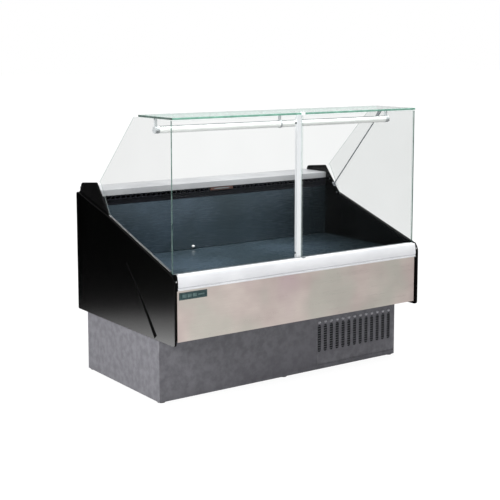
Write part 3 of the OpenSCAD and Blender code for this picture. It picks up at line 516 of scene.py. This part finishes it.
def dress(node):
    """Gives a CAD node its material, smooth shading and rounded edges, all by modifiers."""
    obj = NODES[node]
    obj.data.materials.clear()
    obj.data.materials.append(OWN_LOOK.get(node, LOOKS[SLOT_OF[node]]))
    tidy = obj.modifiers.new("tidy", "NODES")
    tidy.node_group = TIDY
    if node in NO_BEVEL:
        return
    flat = obj.modifiers.new("flat", "DECIMATE")
    flat.decimate_type = "DISSOLVE"
    flat.angle_limit = math.radians(1.0)
    edge = obj.modifiers.new("edge", "BEVEL")
    width = BEVEL_MM.get(node, USUAL_BEVEL_MM)
    edge.width = width * MM
    edge.segments = 3 if width > 2 else 2
    edge.limit_method = "ANGLE"
    edge.angle_limit = math.radians(30)
    edge.harden_normals = True


for name in NODES:
    dress(name)


# ---- pieces built here ----


def piece(name, bm, body, looks, smooth=30.0):
    """Makes a mesh object from bm, gives it its looks and lets it ride on a CAD body."""
    bmesh.ops.recalc_face_normals(bm, faces=bm.faces)
    mesh = bpy.data.meshes.new(name)
    bm.to_mesh(mesh)
    bm.free()
    for look in looks:
        mesh.materials.append(look)
    mesh.shade_smooth()
    mesh.set_sharp_from_angle(angle=math.radians(smooth))
    obj = bpy.data.objects.new(name, mesh)
    bpy.context.scene.collection.objects.link(obj)
    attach(obj, body)
    return obj


def add_box(bm, lo, hi, round_mm=0.0):
    """A box with rounded edges between two corners, in metres."""
    made = bmesh.ops.create_cube(bm, size=1.0)["verts"]
    size = Vector(hi) - Vector(lo)
    middle = (Vector(hi) + Vector(lo)) / 2
    for v in made:
        v.co = Vector(v.co[i] * size[i] + middle[i] for i in range(3))
    if round_mm:
        edges = {e for v in made for e in v.link_edges}
        bmesh.ops.bevel(
            bm, geom=list(edges), offset=round_mm * MM, segments=2, profile=0.5, affect="EDGES",
            clamp_overlap=True,
        )


def add_lathe(bm, centre, axis, profile, sides=24):
    """A turned shape: profile holds (distance along axis, radius) in millimetres."""
    axis = Vector(axis).normalized()
    across = axis.orthogonal().normalized()
    other = axis.cross(across)
    turns = [2 * math.pi * k / sides for k in range(sides)]
    spokes = [across * math.cos(turn) + other * math.sin(turn) for turn in turns]
    rings = []
    for along, radius in profile:
        spot = Vector(centre) + axis * along * MM
        if radius < 1e-6:
            rings.append([bm.verts.new(spot)])
            continue
        rings.append([bm.verts.new(spot + radius * MM * spoke) for spoke in spokes])
    for low, high in zip(rings, rings[1:]):
        for k in range(sides):
            m = (k + 1) % sides
            corners = [low[k % len(low)], low[m % len(low)], high[m % len(high)], high[k % len(high)]]
            kept = []
            for c in corners:
                if c not in kept:
                    kept.append(c)
            if len(kept) > 2:
                bm.faces.new(kept)
    for ring in (rings[0], rings[-1]):
        if len(ring) > 2:
            bm.faces.new(ring)


def add_screw(bm, spot, axis, radius):
    """A pan-head screw with a cross recess, its head standing along axis from spot."""
    outline = [(0, 1), (0.35, 0.98), (0.6, 0.8), (0.72, 0.45), (0.72, 0.3), (0.4, 0.16), (0.4, 0)]
    add_lathe(bm, spot, axis, [(up * radius, out * radius) for up, out in outline], sides=16)


def pane(name, node, axis, look, edge_look, end_look):
    """A glass pane copied from its CAD node; its faces, edges and outer ends each have a look."""
    outer_end_x = 0.7
    bm = bmesh.new()
    bm.from_mesh(NODES[node].data)
    bmesh.ops.remove_doubles(bm, verts=bm.verts, dist=1e-5)
    bmesh.ops.dissolve_limit(bm, angle_limit=math.radians(1), verts=bm.verts, edges=bm.edges)
    bmesh.ops.bevel(bm, geom=bm.edges[:], offset=0.8 * MM, segments=1, profile=0.5, affect="EDGES")
    bm.normal_update()
    for face in bm.faces:
        at_end = abs(face.normal.x) > 0.6 and abs(face.calc_center_median().x) > outer_end_x
        if abs(face.normal[axis]) > 0.999:
            face.material_index = 0
        elif at_end and axis != 0:
            face.material_index = 2
        else:
            face.material_index = 1
    obj = piece(name, bm, BODY_OF[node], [look, edge_look, end_look], smooth=20)
    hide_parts(node)
    return obj


pane("left_front_pane_glass", "left_front_glass", 1, LOOKS["clear_glass"], SIDE_EDGE, EDGE_GLASS)
pane("right_front_pane_glass", "right_front_glass", 1, LOOKS["clear_glass"], SIDE_EDGE, EDGE_GLASS)
pane("left_side_pane_glass", "left_side_glass", 0, LOOKS["clear_glass"], SIDE_EDGE, SIDE_EDGE)
pane("right_side_pane_glass", "right_side_glass", 0, LOOKS["clear_glass"], SIDE_EDGE, SIDE_EDGE)
pane("top_pane_glass", "top_glass", 2, LOOKS["top_glass"], TOP_EDGE, TOP_END)


def lamp():
    """An opal tube under a thin aluminium spine."""
    lo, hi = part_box("lamp_tube")
    mid = (lo + hi) / 2
    radius = (hi.z - lo.z) / 2 / MM
    length = (hi.x - lo.x) / MM
    end = [(0, radius - 2), (1.5, radius - 1), (6, radius - 0.3)]
    far_end = [(length - along, r) for along, r in reversed(end)]
    bm = bmesh.new()
    add_lathe(bm, (lo.x, mid.y, mid.z), (1, 0, 0), end + far_end, sides=40)
    diffuser = piece("lamp_diffuser", bm, "case", [LOOKS["lamp_white"]])
    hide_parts("lamp_tube")
    spine_half, spine_thick, end_gap = 9 * MM, 3.2 * MM, 4 * MM
    bm = bmesh.new()
    add_box(bm, (lo.x + end_gap, mid.y - spine_half, hi.z - spine_thick),
            (hi.x - end_gap, mid.y + spine_half, hi.z), 0.8)
    piece("lamp_spine", bm, "case", [SPINE])


def rim_caps():
    """Chrome caps on the covers' front rims, over the ends of the hinge."""
    cap_x, cap_depth_mm, cap_z = 738.5 * MM, -7.2, 0.606
    dome = [(0, 3.6), (0.9, 3.5), (1.5, 2.6), (1.8, 0)]
    bm = bmesh.new()
    for side in (-1, 1):
        add_lathe(bm, (side * cap_x, at(cap_depth_mm), cap_z), (0, -1, 0), dome)
    piece("rim_caps", bm, "case", [CHROME])


def grille_bosses():
    """A pressed boss above each slot of the intake grille, coloured far lighter than the plinth as a painted
    highlight.
    """
    slots, boss_z = 13, 0.251
    lo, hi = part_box("intake_grille")
    first = lo.x + 16 * MM
    pitch = (hi.x - 42 * MM - first) / (slots - 1)
    bm = bmesh.new()
    for i in range(slots):
        centre = Vector((first + i * pitch, lo.y, boss_z))
        made = bmesh.ops.create_uvsphere(bm, u_segments=20, v_segments=12, radius=1.0)["verts"]
        for v in made:
            v.co = centre + Vector((v.co.x * 9.0 * MM, v.co.y * 5.0 * MM, v.co.z * 6.5 * MM))
    piece("grille_bosses", bm, "case", [BOSS_HIGHLIGHT])


def intake_filter():
    """The intake's dust filter: a dark mat behind the slots, held by thin cross wires."""
    wires, wire_r_mm = 13, 1.0
    lo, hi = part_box("intake_grille")
    x0, x1 = lo.x + 10 * MM, hi.x - 30 * MM
    z0, z1 = 0.086, 0.248
    front_y = lo.y + 4 * MM
    bm = bmesh.new()
    add_box(bm, (x0, front_y, z0), (x1, front_y + 4 * MM, z1), 0.8)
    piece("intake_filter", bm, "case", [FILTER_MAT])
    first, pitch = z0 + 6 * MM, (z1 - z0 - 12 * MM) / (wires - 1)
    rod = [(0, wire_r_mm), ((x1 - x0) / MM, wire_r_mm)]
    bm = bmesh.new()
    for k in range(wires):
        add_lathe(bm, (x0, front_y - 0.6 * MM, first + k * pitch), (1, 0, 0), rod, sides=10)
    piece("filter_wires", bm, "case", [WIRE])


def badge_marks():
    """A plain border and bars on the badge plate, in place of lettering."""
    lo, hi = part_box("badge_plate")
    margin, line = 3 * MM, 1.2 * MM
    sunk_y = lo.y + 0.3 * MM
    x0, x1, z0, z1 = lo.x + margin, hi.x - margin, lo.z + margin, hi.z - margin
    borders = (
        ((x0, z0), (x1, z0 + line)),
        ((x0, z1 - line), (x1, z1)),
        ((x0, z0), (x0 + line, z1)),
        ((x1 - line, z0), (x1, z1)),
    )
    bm = bmesh.new()
    for a, b in borders:
        add_box(bm, (a[0], lo.y - 0.4 * MM, a[1]), (b[0], sunk_y, b[1]))
    mid_z = (lo.z + hi.z) / 2
    bars_mm = ((16, 22, 8), (44, 22, 8), (72, 22, 8), (100, 34, 3))
    for start, width, half_tall in bars_mm:
        add_box(bm, (lo.x + start * MM, lo.y - 0.5 * MM, mid_z - half_tall * MM),
                (lo.x + (start + width) * MM, sunk_y, mid_z + half_tall * MM), 0.2)
    piece("badge_border", bm, "case", [MARK_PAINT])


def thermometer_face():
    """The thermometer's window and its scale."""
    ticks = 17
    lo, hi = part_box("thermometer")
    face_y = lo.y + 2 * MM
    mid_z = (lo.z + hi.z) / 2
    half_tall = 3.2 * MM
    bm = bmesh.new()
    add_box(bm, (lo.x + 24 * MM, face_y - 0.6 * MM, mid_z - half_tall),
            (hi.x - 24 * MM, face_y + 0.3 * MM, mid_z + half_tall), 0.3)
    piece("thermometer_window", bm, "case", [SCALE_FACE])
    half_tick = 0.3 * MM
    bm = bmesh.new()
    for k in range(ticks):
        x = lo.x + 28 * MM + k * (hi.x - lo.x - 56 * MM) / (ticks - 1)
        tall = 2.4 if k % 4 == 0 else 1.4
        add_box(bm, (x - half_tick, face_y - 0.75 * MM, mid_z - tall * MM),
                (x + half_tick, face_y - 0.5 * MM, mid_z + 0.4 * MM))
    piece("thermometer_scale", bm, "case", [LOOKS["controller_plastic"]])


def rear_screws():
    """Screws round the rear sheets and the control panel."""
    lo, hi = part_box("rear_panel")
    columns = 6
    bm = bmesh.new()
    for k in range(columns):
        x = lo.x + 30 * MM + k * (hi.x - lo.x - 60 * MM) / (columns - 1)
        for z in (lo.z + 14 * MM, hi.z - 14 * MM):
            add_screw(bm, (x, hi.y, z), (0, 1, 0), 4.5)
    lo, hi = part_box("base_rear_panel")
    columns = 5
    for k in range(columns):
        x = lo.x + 25 * MM + k * (hi.x - lo.x - 50 * MM) / (columns - 1)
        add_screw(bm, (x, hi.y, hi.z - 16 * MM), (0, 1, 0), 4.0)
    lo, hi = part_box("control_panel")
    inset = 7 * MM
    for x in (lo.x + inset, hi.x - inset):
        for z in (lo.z + inset, hi.z - inset):
            add_screw(bm, (x, hi.y, z), (0, 1, 0), 3.2)
    piece("rear_screws", bm, "case", [LOOKS["screw_steel"]])


def controller_face():
    """The controller's dark window and its four flat touch keys."""
    lo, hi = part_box("controller")
    mid_z = (lo.z + hi.z) / 2
    bm = bmesh.new()
    add_box(bm, (hi.x - 54 * MM, hi.y - 0.6 * MM, mid_z - 10 * MM),
            (hi.x - 8 * MM, hi.y + 0.25 * MM, mid_z + 11 * MM), 0.25)
    piece("controller_window", bm, "case", [WINDOW])
    key = [(0, 4.4), (0.7, 4.3), (0.95, 3.6), (1.0, 0)]
    bm = bmesh.new()
    for k in range(4):
        x = lo.x + (10 + 14 * (k % 2)) * MM
        z = mid_z + (7 - 14 * (k // 2)) * MM
        add_lathe(bm, (x, hi.y - 0.4 * MM, z), (0, 1, 0), key)
    piece("controller_keys", bm, "case", [KEY_RUBBER])


def switch_bezels():
    """A raised frame round each rocker switch."""
    half_line, half_wide, clear = 1.1 * MM, 11 * MM, 3.6 * MM
    panel_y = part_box("control_panel")[1].y
    back_y, front_y = panel_y - 0.3 * MM, panel_y + 1.2 * MM
    bm = bmesh.new()
    for node in ("power_switch", "lamp_switch"):
        lo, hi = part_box(node)
        mid_x = (lo.x + hi.x) / 2
        for side in (-1, 1):
            x = mid_x + side * 10.6 * MM
            add_box(bm, (x - half_line, back_y, lo.z - clear), (x + half_line, front_y, hi.z + clear), 0.4)
            z = (lo.z if side < 0 else hi.z) + side * 2.9 * MM
            add_box(bm, (mid_x - half_wide, back_y, z - half_line),
                    (mid_x + half_wide, front_y, z + half_line), 0.4)
    piece("switch_bezels", bm, "case", [LOOKS["control_fascia"]])


lamp()
rim_caps()
grille_bosses()
intake_filter()
badge_marks()
thermometer_face()
rear_screws()
controller_face()
switch_bezels()


# ---- stage, light and camera ----


def stage_floor():
    """A pale floor that the camera sees as white but for the shadow close to the case."""
    look = Look("floor")
    soft = look.noise(1.5, detail=4.0)
    shader = look.add("ShaderNodeBsdfPrincipled", {"Specular IOR Level": 0.1, "Roughness": 0.85})
    pale = look.blend(look.span(soft, 0.0, 1.0), (0.48, 0.48, 0.48), (0.52, 0.52, 0.52))
    seen = look.add("ShaderNodeLightPath").outputs["Is Camera Ray"]
    look.put(shader.inputs["Base Color"], look.blend(seen, pale, (0.07, 0.07, 0.07)))
    look.put(shader.inputs["Normal"], look.bump(look.noise(120.0), 0.03, 0.3 * MM))
    away = look.add("ShaderNodeVectorMath", {"Vector": look.place}, operation="LENGTH").outputs["Value"]
    white = look.span(away, 0.94, 1.0, 0.5, 3.0)
    look.put(shader.inputs["Emission Color"], (1, 1, 1))
    look.put(shader.inputs["Emission Strength"], look.maths("MULTIPLY", white, seen))
    bm = bmesh.new()
    bmesh.ops.create_grid(bm, x_segments=8, y_segments=8, size=60.0)
    mesh = bpy.data.meshes.new("floor")
    bm.to_mesh(mesh)
    bm.free()
    mesh.materials.append(look.finish(shader))
    floor = bpy.data.objects.new("floor", mesh)
    bpy.context.scene.collection.objects.link(floor)
    floor.visible_glossy = False


def world_light():
    """White for the camera, a soft grey fill, and a studio-like surround in reflections."""
    world = bpy.data.worlds.new("studio")
    bpy.context.scene.world = world
    world.use_nodes = True
    world.cycles.sampling_method = "NONE"
    tree = world.node_tree
    tree.nodes.clear()

    def add(kind, **settings):
        node = tree.nodes.new(kind)
        for key, value in settings.items():
            setattr(node, key, value)
        return node

    def ramp(source, stops):
        node = add("ShaderNodeValToRGB")
        node.color_ramp.interpolation = "EASE"
        while len(node.color_ramp.elements) < len(stops):
            node.color_ramp.elements.new(0.5)
        for element, (spot, value) in zip(node.color_ramp.elements, stops):
            element.position = spot
            element.color = (value, value, value, 1)
        tree.links.new(source, node.inputs[0])
        return node.outputs[0]

    def mapped(source, start, end):
        node = add("ShaderNodeMapRange")
        node.inputs["From Min"].default_value = start
        node.inputs["From Max"].default_value = end
        tree.links.new(source, node.inputs["Value"])
        return node.outputs[0]

    def mixed(share, a, b):
        node = add("ShaderNodeMix", data_type="RGBA")
        tree.links.new(share, node.inputs["Factor"])
        for source, name in ((a, "A"), (b, "B")):
            socket = [s for s in node.inputs if s.name == name and s.type == "RGBA"][0]
            tree.links.new(source, socket)
        return [s for s in node.outputs if s.type == "RGBA"][0]

    way = add("ShaderNodeSeparateXYZ")
    tree.links.new(add("ShaderNodeTexCoord").outputs["Generated"], way.inputs[0])
    height = mapped(way.outputs["Z"], -0.5, 0.5)
    above = [(0.5, 0.0), (0.54, 0.95), (0.62, 0.75)]
    back_left = ramp(height, [(0.15, 0.2), (0.2, 2.9), (0.237, 2.3), (0.253, 0.95), (0.272, 0.0), *above])
    back_right = ramp(height, [(0.15, 0.15), (0.2, 0.8), (0.225, 0.6), (0.264, 0.0), *above])
    back = mixed(mapped(way.outputs["X"], -0.38, -0.28), back_left, back_right)
    across = mapped(way.outputs["X"], -1.0, 1.0)
    front_low = ramp(across, [(0.0, 1.0), (0.66, 1.0), (0.9, 0.38), (1.0, 0.35)])
    front_high = ramp(across, [(0.0, 0.85), (1.0, 0.75)])
    front = mixed(mapped(way.outputs["Z"], -0.02, 0.15), front_low, front_high)
    glossy = mixed(mapped(way.outputs["Y"], 0.05, -0.05), back, front)

    rays = add("ShaderNodeLightPath")
    fill = add("ShaderNodeBackground")
    fill.inputs["Color"].default_value = (0.95, 0.97, 1.0, 1)
    fill.inputs["Strength"].default_value = 0.3
    sharp = add("ShaderNodeBackground")
    tree.links.new(glossy, sharp.inputs["Color"])
    white = add("ShaderNodeBackground")
    white.inputs["Color"].default_value = (1, 1, 1, 1)
    pick = add("ShaderNodeMixShader")
    tree.links.new(rays.outputs["Is Glossy Ray"], pick.inputs[0])
    tree.links.new(fill.outputs[0], pick.inputs[1])
    tree.links.new(sharp.outputs[0], pick.inputs[2])
    seen = add("ShaderNodeMixShader")
    tree.links.new(rays.outputs["Is Camera Ray"], seen.inputs[0])
    tree.links.new(pick.outputs[0], seen.inputs[1])
    tree.links.new(white.outputs[0], seen.inputs[2])
    tree.links.new(seen.outputs[0], add("ShaderNodeOutputWorld").inputs[0])


def area_light(name, place, target, size, watts):
    """A soft white rectangle of light, left out of reflections and of the camera's view."""
    data = bpy.data.lights.new(name, "AREA")
    data.shape = "RECTANGLE"
    data.size, data.size_y = size
    data.energy = watts
    lamp = bpy.data.objects.new(name, data)
    lamp.location = place
    lamp.rotation_euler = (Vector(target) - Vector(place)).to_track_quat("-Z", "Y").to_euler()
    lamp.visible_glossy = False
    lamp.visible_camera = False
    bpy.context.scene.collection.objects.link(lamp)


stage_floor()
world_light()
area_light("key", (-5.2, -1.6, 3.0), (0, 0, 0.5), (2.6, 2.2), 330)
area_light("top", (0.2, -0.6, 4.2), (0, 0, 0.6), (3.2, 2.4), 300)

EYE = (-3.3057, -4.6412, 1.6403)
YAW = 35.492
PITCH = 7.218
LENS_MM = 80.06
camera_data = bpy.data.cameras.new("camera")
camera_data.lens = LENS_MM
camera_data.sensor_width = 36.0
camera_data.shift_y = -0.12
camera = bpy.data.objects.new("camera", camera_data)
camera.location = EYE
camera.rotation_euler = (math.radians(90 - PITCH), 0, math.radians(-YAW))
bpy.context.scene.collection.objects.link(camera)
bpy.context.scene.camera = camera
bpy.context.scene.view_settings.view_transform = "Standard"
bpy.context.scene.view_settings.look = "None"
